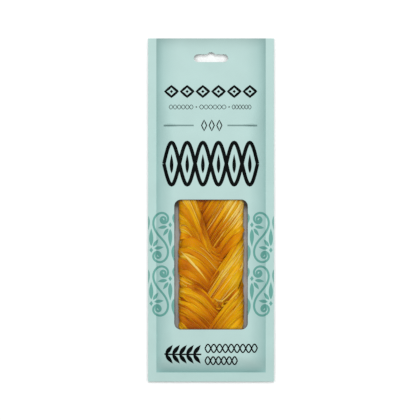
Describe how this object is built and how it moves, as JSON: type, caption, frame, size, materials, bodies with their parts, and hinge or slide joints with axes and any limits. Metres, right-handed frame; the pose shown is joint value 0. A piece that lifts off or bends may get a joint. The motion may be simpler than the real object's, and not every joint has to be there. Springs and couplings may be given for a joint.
{
  "type": "braided string cheese in a window pouch",
  "caption": "Braided string cheese in a flat printed pouch, seen through a rounded window below a hanging slot.",
  "frame": {"origin": "on the surface the pouch lies on, under the middle of its outline", "axes": "+X across the pouch, +Y along it towards the hanging slot, +Z out of its front, where the window is"},
  "size_m": [0.11, 0.3, 0.018],
  "materials": {
    "printed_film": "satin mint-green printed film",
    "clear_film": "clear glossy film",
    "cheese": "silky, fibrous, amber-yellow smoked cheese"
  },
  "bodies": {
    "root": {"pouch": "printed_film", "window_pane": "clear_film", "strand_left": "cheese", "strand_middle": "cheese", "strand_right": "cheese"}
  },
  "joints": []
}
